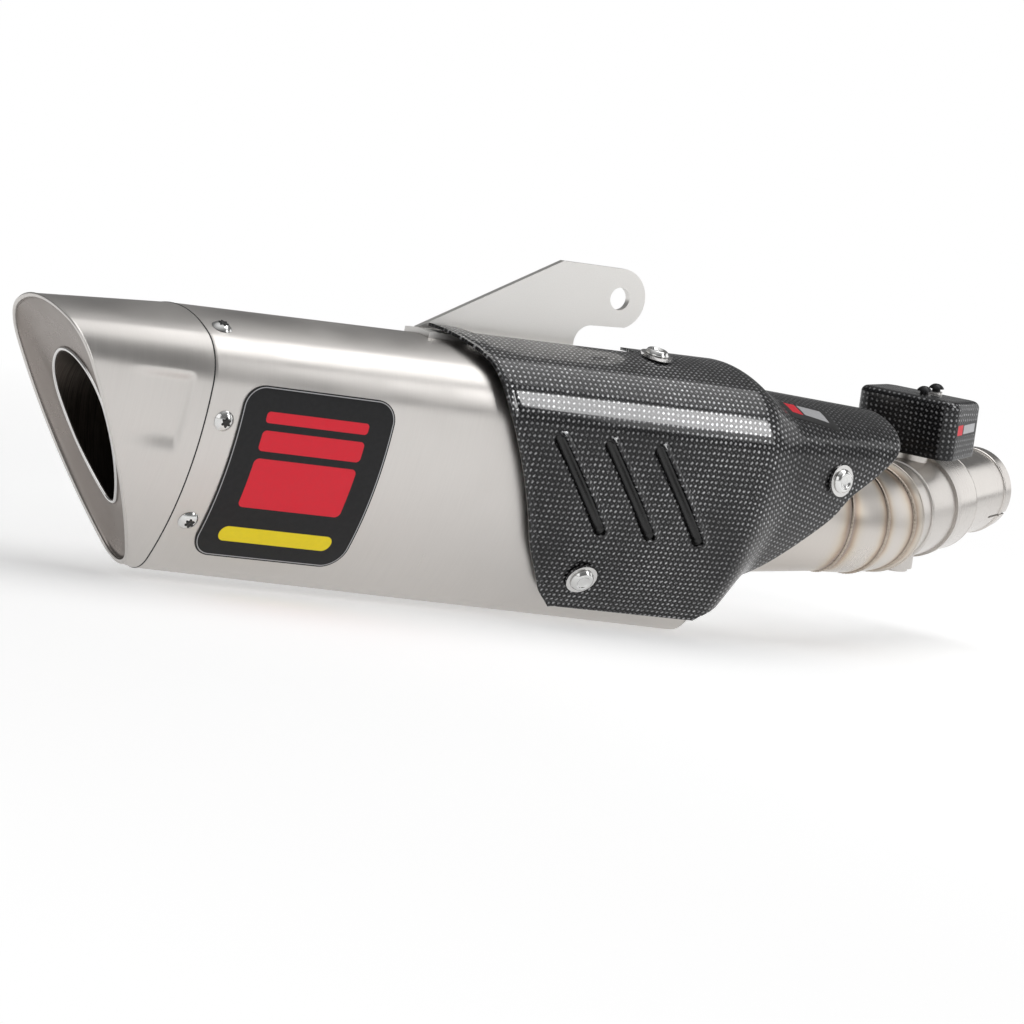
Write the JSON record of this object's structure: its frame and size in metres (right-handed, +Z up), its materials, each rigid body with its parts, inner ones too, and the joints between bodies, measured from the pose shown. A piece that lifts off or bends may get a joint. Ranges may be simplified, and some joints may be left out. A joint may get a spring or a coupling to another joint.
{
  "type": "motorcycle racing exhaust",
  "caption": "Racing motorcycle silencer with slash-cut outlet, carbon heat shield, mounting bracket, exhaust valve with cover and link pipe.",
  "frame": {"origin": "centre of the link pipe's open mouth, where the header pipe enters", "axes": "+X along the silencer from its outlet to its inlet, +Z up, +Y away from the heat shield's side"},
  "size_m": [0.6972, 0.1769, 0.1949],
  "materials": {
    "cap_titanium": "satin brushed titanium, brushed round the cap",
    "dish_titanium": "satin titanium, pressed",
    "dark_tube": "dark heat-stained steel, finely ribbed",
    "sleeve_titanium": "satin titanium brushed round the body",
    "stainless_screws": "bright stainless steel",
    "inner_steel": "mill-finish stainless steel",
    "badge_black": null,
    "glass_wool": "glass wool",
    "shoulder_titanium": "satin titanium",
    "heated_titanium": "brushed titanium with straw heat tint at the welds",
    "cast_body": "fine-blasted casting with turned ends",
    "bush_bronze": "sintered bronze",
    "machined_steel": "turned stainless steel",
    "shaft_steel": "ground stainless steel",
    "pulley_steel": "zinc-plated steel",
    "spring_steel": "oiled spring steel",
    "bracket_steel": "bead-blasted stainless sheet",
    "cover_carbon": "lacquered carbon cloth",
    "black_screws": "black oxide",
    "label_foil": "foil label with a plain red and silver mark",
    "shield_carbon": "lacquered plain-weave carbon cloth",
    "polished_washers": "polished stainless steel",
    "black_rubber": "heat-proof rubber"
  },
  "bodies": {
    "exhaust": {"end_cap": "cap_titanium", "outlet_dish": "dish_titanium", "outlet_tube": "dark_tube", "sleeve": "sleeve_titanium", "seam_screws": "stainless_screws", "seam_nuts": "inner_steel", "badge_plate": "badge_black", "outlet_bulkhead": "inner_steel", "inlet_bulkhead": "inner_steel", "core_tube": "inner_steel", "packing": "glass_wool", "inlet_shoulder": "shoulder_titanium", "inlet_neck": "heated_titanium", "slip_ring": "heated_titanium", "valve_body": "cast_body", "upper_bush": "bush_bronze", "lower_bush": "bush_bronze", "spindle_plug": "machined_steel", "return_spring": "spring_steel", "cover_base": "bracket_steel", "cover_bridge": "bracket_steel", "valve_cover": "cover_carbon", "cover_screws": "black_screws", "cover_label": "label_foil", "adapter_collar": "machined_steel", "link_pipe": "machined_steel", "mounting_bracket": "bracket_steel", "heat_shield": "shield_carbon", "shield_washers": "polished_washers", "shield_bolts": "stainless_screws", "shield_grommets": "black_rubber", "shield_bosses": "inner_steel", "shield_label": "label_foil", "elbow_segment_1": "heated_titanium", "elbow_segment_2": "heated_titanium"},
    "valve_rotor": {"spindle": "shaft_steel", "butterfly_disc": "shaft_steel", "disc_screws": "stainless_screws", "cable_pulley": "pulley_steel", "pulley_nut": "stainless_screws"}
  },
  "joints": [
    {"name": "exhaust_valve", "type": "hinge", "parent": "exhaust", "child": "valve_rotor", "pos_m": [-0.08957, -0.05171, -0.01087], "axis": [-0.0905, -0.0523, 0.9945], "range_deg": [0, 80], "stiffness_Nm_per_rad": 0.35, "springref_deg": -34.38, "deforming": ["return_spring"]}
  ]
}
